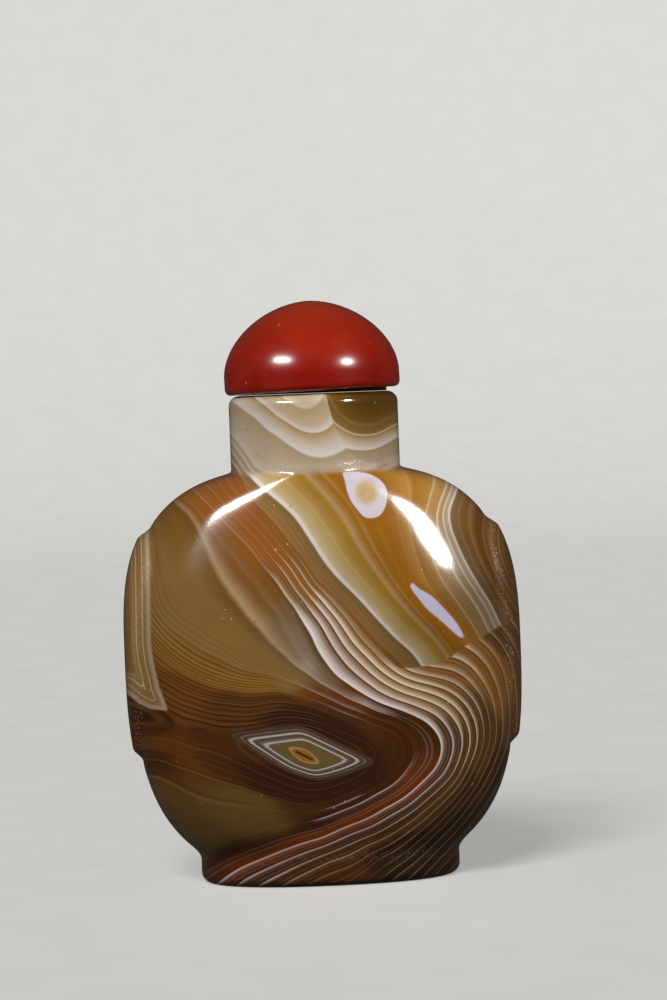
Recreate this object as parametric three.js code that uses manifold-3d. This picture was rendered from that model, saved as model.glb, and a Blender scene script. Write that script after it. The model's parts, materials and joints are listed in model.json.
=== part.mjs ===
// A banded agate snuff bottle with a domed red stopper.
// The bottle is one hollowed stone: a flattened, round-shouldered flask on an oval foot, with a short
// round neck and a raised panel on each narrow side. The stopper is a red dome that leans a little, on
// a plug of cork in the mouth. Millimetres, +Z up: X is the bottle's width, -Y is its front, and the
// origin is the centre of the foot's underside.
import * as THREE from 'three';
import { mergeVertices } from 'three/addons/utils/BufferGeometryUtils.js';
import Module from 'manifold-3d';

// The bottle's outline
const bottleHeight = 55;
const bodyWidth = 43.4;
const bodyDepth = 23.6;
const widestHeight = 26.5;
const deepestHeight = 20;
const neckDiameter = 19.2;
const neckHeight = 8.7;
const footWidth = 29.4;
const footDepth = 18.4;
const footHeight = 3.4;

// How square the forms are: 2 is an ellipse, and more is boxier
const outlineExponent = 3;
const depthExponent = 2.1;
const footExponent = 2.3;
const bellyExponent = 2.8;
const shoulderExponent = 2.1;
const roundExponent = 2;

// Heights over which the section turns from one of these forms to the next
const footEase = 7;
const shoulderEaseStart = 26;
const shoulderEaseEnd = 42;
const neckEase = 12;

// Worked edges and hollows of the outside
const lipRound = 1.2;
const footRound = 1.1;
const creaseBlend = 1.2;
const footRimWidth = 2.2;
const footRecessDepth = 0.9;
const footRecessEase = 0.6;

// The raised panel on each narrow side
const panelRaise = 0.8;
const panelBottom = 14.7;
const panelTop = 40;
const panelDepth = 12;
const panelExponent = 2.8;

// The hollow inside
const mouthDiameter = 7.6;
const mouthChamfer = 0.4;
const sideWall = 3.1;
const faceWall = 2.6;
const floorThickness = 5.4;
const shoulderWall = 3.2;
const hollowExponent = 2.6;

// The stopper
const stopperDiameter = 19.9;
const stopperHeight = 10.25;
const stopperEdgeRound = 0.7;
const stopperWidestHeight = 2;
const domeExponent = 1.83;
const stopperTilt = THREE.MathUtils.degToRad(1.2);
const stopperLift = 0.04;
const seatRise = 0.03;
const corkLength = 6.2;
const corkClearance = 0.42;
const corkTaper = 0.15;
const corkChamfer = 0.3;
const glueLine = 0.05;

// How finely the round forms are faceted
const outsideSides = 56;
const outsideSteps = 32;
const hollowSides = 32;
const hollowSteps = 16;
const roundSides = 48;
const edgeSteps = 4;
const domeSteps = 13;

// How far a cutting tool runs past the surface that it cuts, and how far a joined form runs into the other
const overrun = 1;

const wasm = await Module();
wasm.setup();

const neckRadius = neckDiameter / 2;
const neckBase = bottleHeight - neckHeight;
const mouthRadius = mouthDiameter / 2;
const stopperRadius = stopperDiameter / 2;

// What is left of a half size, as a share, at a given share of the reach along a rounded outline
function remaining(share, exponent) {
  return (1 - Math.min(Math.abs(share), 1) ** exponent) ** (1 / exponent);
}

// A point of a rounded outline of half size 1, at a given angle: round at exponent 2 and boxier above it
function roundedPoint(angle, exponent) {
  const [c, s] = [Math.cos(angle), Math.sin(angle)];
  const swell = (Math.abs(c) ** exponent + Math.abs(s) ** exponent) ** (-1 / exponent);
  return [c * swell, s * swell];
}

// A whole number of equal steps from one value to another, with both ends
function steps(from, to, count) {
  return Array.from({ length: count + 1 }, (_, i) => from + ((to - from) * i) / count);
}

// The larger of two half sizes, with the crease where they meet filled over the given blend
function softLarger(a, b, blend) {
  const near = Math.max(blend - Math.abs(a - b), 0) / blend;
  return Math.max(a, b) + (near * near * blend) / 4;
}

// How far an edge of the given rounding stands in from its side, at a distance from its flat
function edgeInset(radius, distance) {
  const short = Math.max(radius - distance, 0);
  return radius - Math.sqrt(radius * radius - short * short);
}

// Distances from its flat that follow an edge's rounding evenly
function edgeDistances(radius) {
  return steps(0, Math.PI / 2, edgeSteps).map((angle) => radius * (1 - Math.cos(angle)));
}

// One level ring of an oval section
function ovalRing(halfWidth, halfDepth, z, exponent, sides) {
  return steps(0, 2 * Math.PI, sides).slice(0, sides).map((angle) => {
    const [x, y] = roundedPoint(angle, exponent);
    return new THREE.Vector3(halfWidth * x, halfDepth * y, z);
  });
}

// A closed skin over level rings that have the same number of points, given from the bottom up
function skin(rings) {
  const sides = rings[0].length;
  const topRing = (rings.length - 1) * sides;
  const points = rings.flat();
  const lowest = points.push(new THREE.Vector3(0, 0, rings[0][0].z)) - 1;
  const highest = points.push(new THREE.Vector3(0, 0, rings.at(-1)[0].z)) - 1;
  const faces = [];
  for (let i = 0; i < sides; i += 1) {
    const next = (i + 1) % sides;
    for (let level = 0; level < topRing; level += sides) {
      const [a, b] = [level + i, level + next];
      faces.push(a, b, b + sides, a, b + sides, a + sides);
    }
    faces.push(lowest, next, i, highest, topRing + i, topRing + next);
  }
  return new THREE.BufferGeometry().setFromPoints(points).setIndex(faces);
}

// A profile of [radius, height] pairs that starts and ends on the axis, turned about the upright axis
function turned(profile) {
  const points = profile.map(([radius, height]) => new THREE.Vector2(radius, height));
  return new THREE.LatheGeometry(points, roundSides).rotateX(Math.PI / 2);
}

function toSolid(geometry) {
  const bare = new THREE.BufferGeometry();
  bare.setAttribute('position', geometry.getAttribute('position'));
  bare.setIndex(geometry.index);
  const welded = mergeVertices(bare, 1e-4);
  const vertProperties = new Float32Array(welded.getAttribute('position').array);
  const triVerts = new Uint32Array(welded.index.array);
  return new wasm.Manifold(new wasm.Mesh({ numProp: 3, vertProperties, triVerts }));
}

function toGeometry(solid) {
  const { vertProperties, triVerts } = solid.getMesh();
  const geometry = new THREE.BufferGeometry();
  geometry.setAttribute('position', new THREE.BufferAttribute(vertProperties, 3));
  return geometry.setIndex(new THREE.BufferAttribute(triVerts, 1));
}

// Half sizes up the outside: a rounded body that meets the foot below it and the neck above it
function bodyProfile(largestHalf, footHalf, largestHeight, exponent) {
  const above = (neckBase - largestHeight) / remaining(neckRadius / largestHalf, exponent);
  const below = (largestHeight - footHeight) / remaining(footHalf / largestHalf, exponent);
  return (z) => {
    const isUpper = z > largestHeight;
    const share = (z - largestHeight) / (isUpper ? above : below);
    const half = largestHalf * remaining(share, exponent);
    return softLarger(half, isUpper ? neckRadius : footHalf, creaseBlend);
  };
}
const halfWidthAt = bodyProfile(bodyWidth / 2, footWidth / 2, widestHeight, outlineExponent);
const halfDepthAt = bodyProfile(bodyDepth / 2, footDepth / 2, deepestHeight, depthExponent);

// The section is oval at the foot, boxier at the belly, nearly oval at the shoulder and round at the neck
function exponentAt(z) {
  const fromFoot = THREE.MathUtils.smoothstep(z, footHeight, footHeight + footEase);
  const toShoulder = THREE.MathUtils.smoothstep(z, shoulderEaseStart, shoulderEaseEnd);
  const toNeck = THREE.MathUtils.smoothstep(z, neckBase - neckEase, neckBase);
  const belly = THREE.MathUtils.lerp(footExponent, bellyExponent, fromFoot);
  const shoulder = THREE.MathUtils.lerp(belly, shoulderExponent, toShoulder);
  return THREE.MathUtils.lerp(shoulder, roundExponent, toNeck);
}

function outsideRing(z, raise = 0) {
  const inset = edgeInset(footRound, z) + edgeInset(lipRound, bottleHeight - z);
  const [halfWidth, halfDepth] = [halfWidthAt(z) + raise - inset, halfDepthAt(z) - inset];
  return ovalRing(halfWidth, halfDepth, z, exponentAt(z), outsideSides);
}

// Heights up the body, closer together where the outline turns in to the foot and to the neck
function bodyHeights() {
  const [low, high] = [footHeight - creaseBlend / 2, neckBase + creaseBlend / 2];
  return steps(0, Math.PI, outsideSteps).map((angle) => low + ((high - low) * (1 - Math.cos(angle))) / 2);
}

// The outside of the bottle before its panels, foot recess and hollow are worked
function outsideForm() {
  const foot = edgeDistances(footRound);
  const lip = edgeDistances(lipRound).map((distance) => bottleHeight - distance);
  const heights = [...foot, ...bodyHeights(), ...lip].sort((a, b) => a - b);
  return toSolid(skin(heights.map((z) => outsideRing(z))));
}

// Both raised panels: upright ovals that follow the narrow sides and stand proud of them
function sidePanels() {
  const [halfDepth, halfHeight] = [panelDepth / 2, (panelTop - panelBottom) / 2];
  const outline = new THREE.Shape(
    ovalRing(halfDepth, halfHeight, 0, panelExponent, roundSides).map(({ x, y }) => new THREE.Vector2(x, y)),
  );
  const length = bodyWidth + 2 * (panelRaise + overrun);
  const bar = new THREE.ExtrudeGeometry(outline, { depth: length, bevelEnabled: false });
  bar.translate(0, 0, -length / 2).rotateX(Math.PI / 2).rotateZ(Math.PI / 2);
  bar.translate(0, 0, panelBottom + halfHeight);
  const heights = bodyHeights().filter((z) => z > panelBottom - 2 * overrun && z < panelTop + 2 * overrun);
  return toSolid(skin(heights.map((z) => outsideRing(z, panelRaise)))).intersect(toSolid(bar));
}

// A shallow dish under the foot that leaves a flat rim to stand on
function footRecess() {
  const ring = (z, inset) => {
    const [halfWidth, halfDepth] = [footWidth / 2 - inset, footDepth / 2 - inset];
    return ovalRing(halfWidth, halfDepth, z, footExponent, outsideSides);
  };
  return toSolid(skin([
    ring(-overrun, footRimWidth),
    ring(0, footRimWidth),
    ring(footRecessDepth, footRimWidth + footRecessEase),
  ]));
}

// The space inside: a rounded hollow in the body, and the mouth's bore down through the neck
function hollow() {
  const [low, high] = [floorThickness, neckBase - shoulderWall];
  const [middle, reach] = [(low + high) / 2, (high - low) / 2];
  const [halfWidth, halfDepth] = [bodyWidth / 2 - sideWall, bodyDepth / 2 - faceWall];
  const flatEnd = Math.PI / (2 * hollowSteps);
  const rings = steps(flatEnd - Math.PI / 2, Math.PI / 2 - flatEnd, hollowSteps).map((angle) => {
    const [half, up] = roundedPoint(angle, hollowExponent);
    return ovalRing(halfWidth * half, halfDepth * half, middle + reach * up, hollowExponent, hollowSides);
  });
  const bore = turned([
    [0, high - 2 * overrun],
    [mouthRadius, high - 2 * overrun],
    [mouthRadius, bottleHeight - mouthChamfer],
    [mouthRadius + mouthChamfer + overrun, bottleHeight + overrun],
    [0, bottleHeight + overrun],
  ]);
  return toSolid(skin(rings)).add(toSolid(bore));
}

function bottle() {
  const solid = outsideForm().add(sidePanels()).subtract(footRecess()).subtract(hollow());
  const agate = new THREE.MeshStandardMaterial({ color: 0x9a6224, roughness: 0.16, metalness: 0 });
  const mesh = new THREE.Mesh(toGeometry(solid), agate);
  mesh.name = 'bottle';
  return mesh;
}

// The dome leans, but its underside is ground level to sit on the lip. That leaves a low seat under the
// dome, thinnest where the dome's edge comes down to the lip.
function stopperDome() {
  const [seatRadius, rimRadius] = [neckRadius - lipRound, stopperRadius - stopperEdgeRound];
  const edge = edgeDistances(stopperEdgeRound)
    .map((up) => [stopperRadius - edgeInset(stopperEdgeRound, up), up]);
  const dome = steps(0, Math.PI / 2, domeSteps).map((angle) => {
    const [half, up] = roundedPoint(angle, domeExponent);
    return [stopperRadius * half, stopperWidestHeight + (stopperHeight - stopperWidestHeight) * up];
  });
  const seat = [[0, -overrun], [seatRadius, -overrun], [seatRadius, 0]];
  const leaning = turned([...seat, ...edge, ...dome.slice(0, domeSteps), [0, stopperHeight]]);
  leaning.translate(rimRadius, 0, 0).rotateY(-stopperTilt).translate(-rimRadius, 0, seatRise);
  const below = new THREE.BoxGeometry(2 * stopperDiameter, 2 * stopperDiameter, stopperDiameter);
  below.translate(0, 0, -stopperDiameter / 2);
  const solid = toSolid(leaning).subtract(toSolid(below));
  const redStone = new THREE.MeshStandardMaterial({ color: 0x9c1a0c, roughness: 0.2, metalness: 0 });
  const mesh = new THREE.Mesh(toGeometry(solid), redStone);
  mesh.name = 'stopper_dome';
  return mesh;
}

// The cork hangs from the dome's level underside and fits the mouth's bore with a clearance
function stopperCork() {
  const topRadius = mouthRadius - corkClearance;
  const tipRadius = topRadius - corkTaper;
  const profile = [
    [0, -corkLength],
    [tipRadius - corkChamfer, -corkLength],
    [tipRadius, -corkLength + corkChamfer],
    [topRadius, -glueLine],
    [0, -glueLine],
  ];
  const corkBark = new THREE.MeshStandardMaterial({ color: 0xb98a5a, roughness: 0.9, metalness: 0 });
  const mesh = new THREE.Mesh(turned(profile), corkBark);
  mesh.name = 'stopper_cork';
  return mesh;
}

// The stopper stands on the lip's flat top, just clear of it
function stopper() {
  const group = new THREE.Group().add(stopperDome(), stopperCork());
  group.position.z = bottleHeight + stopperLift;
  return group;
}

const snuffBottle = new THREE.Group().add(bottle(), stopper());

export default snuffBottle;
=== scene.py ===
import json
import math

import bmesh
import bpy
import numpy as np
from mathutils import Matrix, Vector

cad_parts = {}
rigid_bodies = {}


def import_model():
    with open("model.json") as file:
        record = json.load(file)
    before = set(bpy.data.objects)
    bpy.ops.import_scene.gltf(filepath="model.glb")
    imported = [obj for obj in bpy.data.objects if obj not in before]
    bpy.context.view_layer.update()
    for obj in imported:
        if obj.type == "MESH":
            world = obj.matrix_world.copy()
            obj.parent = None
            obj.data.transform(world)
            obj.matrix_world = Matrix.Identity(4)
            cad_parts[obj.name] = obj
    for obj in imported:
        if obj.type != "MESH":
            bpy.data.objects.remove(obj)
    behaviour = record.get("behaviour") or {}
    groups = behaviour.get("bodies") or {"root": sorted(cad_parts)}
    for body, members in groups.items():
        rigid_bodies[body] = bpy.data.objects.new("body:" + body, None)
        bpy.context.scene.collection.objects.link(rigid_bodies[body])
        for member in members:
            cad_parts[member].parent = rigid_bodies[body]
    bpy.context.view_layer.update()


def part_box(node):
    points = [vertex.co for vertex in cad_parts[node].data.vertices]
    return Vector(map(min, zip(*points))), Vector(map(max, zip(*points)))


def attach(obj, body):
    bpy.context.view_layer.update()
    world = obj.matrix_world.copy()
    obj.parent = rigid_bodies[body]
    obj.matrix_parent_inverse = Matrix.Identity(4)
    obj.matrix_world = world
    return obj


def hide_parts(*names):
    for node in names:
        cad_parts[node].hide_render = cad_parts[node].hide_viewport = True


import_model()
scene = bpy.context.scene
mm = 0.001

# Sizes are in millimetres, places on the photograph in its pixels, colours as seen, from 0 to 255

cameraSetup = {
    "azimuth": -2.0,
    "distance": 385.0,
    "eyeHeight": 55.0,
    "aim": (1.9, 0.0, 42.8),
    "roll": 2.2,
    "lens": 122.0,
    "sensor": 36.0,
    "picture": (667, 1000),
}


def cameraAxes():
    turn = math.radians(cameraSetup["azimuth"])
    reach = cameraSetup["distance"]
    eye = Vector((reach * math.sin(turn), -reach * math.cos(turn), cameraSetup["eyeHeight"]))
    ahead = (Vector(cameraSetup["aim"]) - eye).normalized()
    right = ahead.cross(Vector((0, 0, 1))).normalized()
    up = right.cross(ahead)
    roll = math.radians(cameraSetup["roll"])
    rolledUp = up * math.cos(roll) + right * math.sin(roll)
    rolledRight = right * math.cos(roll) - up * math.sin(roll)
    return eye, ahead, rolledRight, rolledUp


def placeCamera():
    eye, ahead, right, up = cameraAxes()
    data = bpy.data.cameras.new("camera")
    data.lens = cameraSetup["lens"]
    data.sensor_width = cameraSetup["sensor"]
    data.clip_start = 0.01
    camera = bpy.data.objects.new("camera", data)
    turn = Matrix((right, up, -ahead)).transposed().to_4x4()
    camera.matrix_world = Matrix.Translation(eye * mm) @ turn
    scene.collection.objects.link(camera)
    scene.camera = camera


def photoPlace(points):
    eye, ahead, right, up = (np.array(v) for v in cameraAxes())
    focal = cameraSetup["lens"] / cameraSetup["sensor"] * cameraSetup["picture"][1]
    away = points - eye
    depth = away @ ahead
    across = cameraSetup["picture"][0] / 2 + focal * (away @ right) / depth
    down = cameraSetup["picture"][1] / 2 - focal * (away @ up) / depth
    return np.c_[across, down]


placeCamera()
print("camera placed")


# Shared sums

def smooth(start, end, value):
    share = np.clip((value - start) / (end - start), 0, 1)
    return share * share * (3 - 2 * share)


def remaining(share, exponent):
    return np.clip(1 - np.abs(share) ** exponent, 0, None) ** (1 / exponent)


def softLarger(a, b, blend):
    near = np.clip(blend - np.abs(a - b), 0, None) / blend
    return np.maximum(a, b) + near * near * blend / 4


def edgeInset(radius, distance):
    return radius - np.sqrt(radius ** 2 - np.clip(radius - distance, 0, None) ** 2)


def seen(red, green, blue):
    channels = [v / 255 for v in (red, green, blue)]
    return tuple(v / 12.92 if v <= 0.04045 else ((v + 0.055) / 1.055) ** 2.4 for v in channels) + (1.0,)


def evenSteps(radius, height, count):
    # places along a profile at equal distances, as shares of its list of points
    walked = np.r_[0, np.cumsum(np.hypot(np.diff(radius), np.diff(height)))]
    return np.interp(np.linspace(0, walked[-1], count), walked, np.arange(len(walked)))


def addPiece(name, mesh, node, material):
    for face in mesh.polygons:
        face.use_smooth = True
    piece = bpy.data.objects.new(name, mesh)
    scene.collection.objects.link(piece)
    mesh.materials.append(material)
    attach(piece, "root")
    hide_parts(node)
    return piece


# Shader helpers

def addNode(tree, kind, sockets=None, **settings):
    node = tree.nodes.new(kind)
    for key, value in settings.items():
        setattr(node, key, value)
    for key, value in (sockets or {}).items():
        if isinstance(value, bpy.types.NodeSocket):
            tree.links.new(value, node.inputs[key])
        else:
            node.inputs[key].default_value = value
    return node


def calc(tree, operation, *values, clamp=False):
    sockets = {index: value for index, value in enumerate(values)}
    return addNode(tree, "ShaderNodeMath", sockets, operation=operation, use_clamp=clamp).outputs[0]


def product(tree, first, *others):
    for other in others:
        first = calc(tree, "MULTIPLY", first, other)
    return first


def total(tree, first, *others):
    for other in others:
        first = calc(tree, "ADD", first, other)
    return first


def rangeOf(tree, value, low, high, start=0.0, end=1.0, kind="SMOOTHSTEP"):
    sockets = {"Value": value, "From Min": low, "From Max": high, "To Min": start, "To Max": end}
    return addNode(tree, "ShaderNodeMapRange", sockets, interpolation_type=kind).outputs["Result"]


def mixTones(tree, share, first, second, blend="MIX"):
    node = addNode(tree, "ShaderNodeMix", data_type="RGBA", blend_type=blend)
    for index, value in ((0, share), (6, first), (7, second)):
        if isinstance(value, bpy.types.NodeSocket):
            tree.links.new(value, node.inputs[index])
        else:
            node.inputs[index].default_value = value
    return node.outputs[2]


def tinted(tree, tone, factors):
    return mixTones(tree, 1.0, tone, (*factors, 1.0), "MULTIPLY")


def noise(tree, place, scale, detail):
    inputs = {"Vector": place, "Scale": scale, "Detail": detail}
    return addNode(tree, "ShaderNodeTexNoise", inputs).outputs["Fac"]


def toneRamp(tree, value, stops):
    low, high = stops[0][0], stops[-1][0]
    share = rangeOf(tree, value, low, high, kind="LINEAR")
    ramp = addNode(tree, "ShaderNodeValToRGB", {"Fac": share})
    marks = ramp.color_ramp.elements
    while len(marks) < len(stops):
        marks.new(0.5)
    for mark, (level, tone) in zip(marks, stops):
        mark.position = (level - low) / (high - low)
    for mark, (level, tone) in zip(marks, stops):
        mark.color = seen(*tone)
    return ramp.outputs["Color"]


def attribute(tree, name, output="Fac"):
    return addNode(tree, "ShaderNodeAttribute", attribute_name=name).outputs[output]


def startGroup(name, inputs, outputs):
    tree = bpy.data.node_groups.new(name, "ShaderNodeTree")
    for socket, kind, value in inputs:
        made = tree.interface.new_socket(socket, in_out="INPUT", socket_type=kind)
        if value is not None:
            made.default_value = value
    for socket, kind in outputs:
        tree.interface.new_socket(socket, in_out="OUTPUT", socket_type=kind)
    return tree, tree.nodes.new("NodeGroupInput").outputs, tree.nodes.new("NodeGroupOutput").inputs


def useGroup(tree, group, sockets):
    node = tree.nodes.new("ShaderNodeGroup")
    node.node_tree = group
    for key, value in sockets.items():
        if isinstance(value, bpy.types.NodeSocket):
            tree.links.new(value, node.inputs[key])
        else:
            node.inputs[key].default_value = value
    return node.outputs


def makeBandGroup():
    # one light line at each whole level: it starts sharply, then fades over part of the level
    tree, given, made = startGroup("agateLine", [
        ("Level", "NodeSocketFloat", 0.0),
        ("Rise", "NodeSocketFloat", 0.07),
        ("Fade", "NodeSocketFloat", 0.5),
        ("Seed", "NodeSocketFloat", 0.0),
    ], [("Line", "NodeSocketFloat"), ("Notch", "NodeSocketFloat"), ("Chance", "NodeSocketFloat")])
    level = total(tree, given["Level"], product(tree, given["Rise"], 0.5))
    along = calc(tree, "FRACT", level)
    rise = rangeOf(tree, along, 0.0, given["Rise"])
    gone = calc(tree, "DIVIDE", calc(tree, "SUBTRACT", along, given["Rise"]), given["Fade"], clamp=True)
    fall = calc(tree, "POWER", calc(tree, "SUBTRACT", 1.0, gone), 1.6)
    whole = total(tree, calc(tree, "FLOOR", level), given["Seed"])
    chance = addNode(tree, "ShaderNodeTexWhiteNoise", {"W": whole}, noise_dimensions="1D").outputs["Value"]
    tree.links.new(product(tree, rise, fall), made["Line"])
    tree.links.new(rangeOf(tree, along, 0.72, 0.97), made["Notch"])
    tree.links.new(chance, made["Chance"])
    return tree


def makeWearGroup():
    # pits, specks of dust and short fibres, on Object coordinates in metres
    tree, given, made = startGroup("polishWear", [
        ("Place", "NodeSocketVector", None),
        ("Pit Scale", "NodeSocketFloat", 900.0),
        ("Pit Share", "NodeSocketFloat", 0.12),
        ("Dust Scale", "NodeSocketFloat", 760.0),
        ("Dust Share", "NodeSocketFloat", 0.2),
    ], [("Pits", "NodeSocketFloat"), ("Dust", "NodeSocketFloat"), ("Wave", "NodeSocketFloat")])

    def specks(scale, share, size, turn=None, stretch=None):
        place = given["Place"]
        if stretch:
            inputs = {"Vector": place, "Rotation": turn, "Scale": stretch}
            place = addNode(tree, "ShaderNodeMapping", inputs).outputs[0]
        cells = addNode(tree, "ShaderNodeTexVoronoi", {"Vector": place, "Scale": scale, "Randomness": 1.0})
        lucky = addNode(tree, "ShaderNodeSeparateColor", {"Color": cells.outputs["Color"]})
        chosen = calc(tree, "LESS_THAN", lucky.outputs[0], share)
        width = product(tree, total(tree, lucky.outputs[1], 0.4), size)
        dot = rangeOf(tree, calc(tree, "DIVIDE", cells.outputs["Distance"], width), 1.0, 0.55)
        return product(tree, chosen, dot)

    pits = specks(given["Pit Scale"], given["Pit Share"], 0.13)
    grains = specks(given["Dust Scale"], given["Dust Share"], 0.085)
    fibres = specks(260.0, 0.1, 0.075, (0.3, 0.5, 0.9), (0.5, 3.0, 3.0))
    tree.links.new(pits, made["Pits"])
    tree.links.new(calc(tree, "MAXIMUM", grains, product(tree, fibres, 0.6)), made["Dust"])
    tree.links.new(noise(tree, given["Place"], 260.0, 1.0), made["Wave"])
    return tree


def startMaterial(name):
    material = bpy.data.materials.new(name)
    material.use_nodes = True
    tree = material.node_tree
    tree.nodes.clear()
    return material, tree, addNode(tree, "ShaderNodeTexCoord").outputs["Object"]


def surface(tree, height, depth, inputs):
    bump = addNode(tree, "ShaderNodeBump", {"Height": height, "Distance": depth, "Strength": 1.0})
    shader = addNode(tree, "ShaderNodeBsdfPrincipled", {**inputs, "Normal": bump.outputs[0]})
    out = addNode(tree, "ShaderNodeOutputMaterial")
    tree.links.new(shader.outputs[0], out.inputs["Surface"])


agateLine = makeBandGroup()
polishWear = makeWearGroup()
print("shader groups made")


# Bottle: its form follows the CAD solid, with finer edges

bottleShape = {
    "panelRaise": 0.8,
    "widestHeight": 26.5,
    "deepestHeight": 20.0,
    "neckRadius": 9.6,
    "neckBase": 46.3,
    "footHalfWidth": 14.7,
    "footHalfDepth": 9.2,
    "footHeight": 3.4,
    "outlineExponent": 3.0,
    "depthExponent": 2.1,
    "footExponent": 2.3,
    "bellyExponent": 2.8,
    "shoulderExponent": 2.1,
    "footEase": 7.0,
    "shoulderEase": (26.0, 42.0),
    "neckEase": 12.0,
    "creaseBlend": 1.2,
    "lipRound": 1.2,
    "footRound": 1.1,
    "rimWidth": 2.2,
    "recessDepth": 0.9,
    "recessEase": 0.6,
    "panelMiddle": 27.35,
    "panelHalfHeight": 12.65,
    "panelHalfDepth": 6.0,
    "panelExponent": 2.8,
    "panelEdge": (-0.8, 0.5),
    "grooveDepth": 0.05,
    "mouthRadius": 3.8,
    "mouthChamfer": 0.4,
    "hollowBottom": 5.4,
    "hollowTop": 43.1,
    "hollowHalfWidth": 18.6,
    "hollowHalfDepth": 9.2,
    "hollowExponent": 2.6,
    "sides": 312,
    "bodyRings": 212,
    "hollowRings": 46,
}

# What the light lines follow: each row is a level and the places it passes on the photograph
sweepGuides = [
    (-11, [(304, 753)]),
    (-8, [(118, 708), (140, 715), (160, 722), (200, 733), (246, 739), (275, 735), (302, 731), (330, 744),
          (362, 761), (342, 771), (315, 776), (290, 768), (266, 753)]),
    (-6, [(120, 694), (140, 697), (160, 703), (186, 716), (225, 724), (262, 724), (300, 718), (335, 730),
          (372, 748), (378, 760), (360, 776), (318, 790), (280, 780), (240, 762), (200, 748), (160, 737),
          (138, 731)]),
    (-4, [(158, 679), (180, 698), (210, 709), (250, 712), (300, 708), (340, 718), (378, 732), (394, 750),
          (382, 770), (350, 788), (316, 800), (280, 794), (240, 780), (200, 766), (158, 752)]),
    (-3, [(160, 660), (186, 677), (217, 689), (250, 696), (290, 694), (322, 704), (360, 718), (396, 733),
          (406, 750), (395, 772), (368, 790), (340, 804), (318, 812), (300, 812), (278, 808), (252, 804),
          (232, 803), (213, 801), (185, 791), (156, 775), (140, 768)]),
    (-2, [(150, 604), (163, 622), (189, 636), (226, 651), (272, 670), (306, 686), (335, 703), (370, 719),
          (402, 730), (413, 750), (403, 772), (374, 794), (342, 810), (315, 819), (286, 828), (256, 837),
          (227, 846), (204, 855), (180, 866)]),
    (-1.5, [(160, 540), (180, 578), (205, 612), (240, 645), (280, 668), (312, 688)]),
    (-1, [(176, 505), (189, 508), (198, 528), (209, 559), (226, 590), (248, 621), (272, 650), (293, 671),
          (320, 686), (346, 705), (376, 718), (405, 726), (420, 744), (410, 772), (378, 797), (342, 816),
          (300, 831), (256, 847), (225, 858), (206, 868), (186, 880)]),
    (-0.5, [(206, 520), (220, 545), (238, 572), (260, 601), (284, 630), (304, 658), (328, 682)]),
    (0, [(214, 508), (235, 531), (256, 551), (281, 581), (299, 604), (315, 633), (330, 659), (353, 683),
          (386, 705), (423, 720), (442, 744), (439, 760), (419, 785), (370, 818), (320, 840), (264, 858),
          (233, 872), (220, 884)]),
    (1, [(222, 500), (241, 518), (258, 537), (281, 566), (303, 598), (321, 621), (341, 655), (370, 681),
          (403, 701), (436, 713), (454, 744), (445, 773), (411, 806), (370, 830), (328, 846), (271, 866),
          (242, 878)]),
    (2, [(265, 536), (291, 568), (317, 606), (332, 624), (360, 660), (390, 685), (419, 696), (446, 710),
          (462, 744), (452, 776), (415, 810), (370, 838), (320, 857), (286, 872), (262, 883)]),
    (3, [(300, 572), (330, 610), (351, 643), (379, 669), (406, 685), (432, 694), (456, 710), (469, 744),
          (457, 779), (421, 811), (370, 841), (330, 860), (290, 880)]),
    (4, [(312, 582), (334, 608), (360, 640), (384, 665), (413, 681), (451, 693), (475, 723), (477, 750),
          (458, 788), (419, 822), (370, 848), (330, 866), (304, 884)]),
    (5, [(252, 503), (272, 519), (288, 542), (317, 580), (350, 610), (380, 644), (404, 668), (426, 675),
          (453, 682), (478, 706), (485, 740), (470, 779), (431, 826), (396, 853), (370, 871),
          (350, 886)]),
    (6, [(412, 668), (434, 669), (461, 674), (483, 701), (490, 740), (476, 776), (437, 826), (402, 856),
          (364, 884)]),
    (7, [(456, 656), (479, 680), (495, 715), (494, 740), (480, 773), (443, 824), (406, 858), (372, 885)]),
    (8, [(469, 647), (492, 678), (501, 712), (496, 752), (472, 797), (437, 837), (399, 869), (381, 885)]),
    (9, [(479, 640), (504, 670), (509, 711), (500, 760), (474, 805), (439, 847), (404, 883)]),
    (10, [(498, 640), (516, 670), (518, 711), (508, 762), (482, 812), (450, 851), (420, 884)]),
    (12, [(512, 622), (527, 670), (529, 711), (520, 770), (492, 820), (459, 857), (434, 884)]),
]
shoulderGuides = [
    (4, [(265, 536), (291, 568), (312, 592), (334, 612), (360, 642), (384, 665)]),
    (5, [(252, 503), (272, 519), (288, 542), (307, 569), (327, 588), (350, 610), (380, 644), (402, 664)]),
    (6, [(258, 486), (276, 499), (297, 518), (317, 549), (337, 578), (363, 602), (387, 628), (412, 650)]),
    (7, [(288, 484), (318, 516), (344, 556), (374, 596), (404, 630), (430, 656)]),
    (8, [(312, 480), (334, 504), (360, 546), (396, 596), (433, 636), (446, 652)]),
    (10, [(404, 480), (408, 520), (418, 562), (440, 600), (465, 634)]),
    (11, [(440, 484), (431, 505), (430, 540), (442, 582), (465, 615), (476, 632)]),
    (12, [(448, 486), (439, 508), (442, 540), (458, 580), (481, 613), (488, 630)]),
    (13, [(453, 486), (449, 501), (444, 512), (450, 532), (468, 567), (490, 602), (498, 622)]),
    (14, [(474, 500), (469, 520), (474, 545), (488, 573), (506, 604)]),
    (15, [(492, 515), (488, 540), (497, 570), (514, 600)]),
    (16, [(505, 530), (504, 550), (514, 580)]),
]
neckLeftGuides = [
    (-1, [(226, 452), (238, 470)]),
    (0, [(229, 432), (241, 446), (254, 466)]),
    (1, [(237, 403), (256, 415), (279, 434), (294, 446), (323, 456), (345, 447), (365, 425), (375, 400)]),
    (2, [(257, 400), (276, 415), (300, 430), (322, 431), (333, 422), (340, 400)]),
    (3, [(285, 398), (305, 408), (322, 398)]),
]
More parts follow.
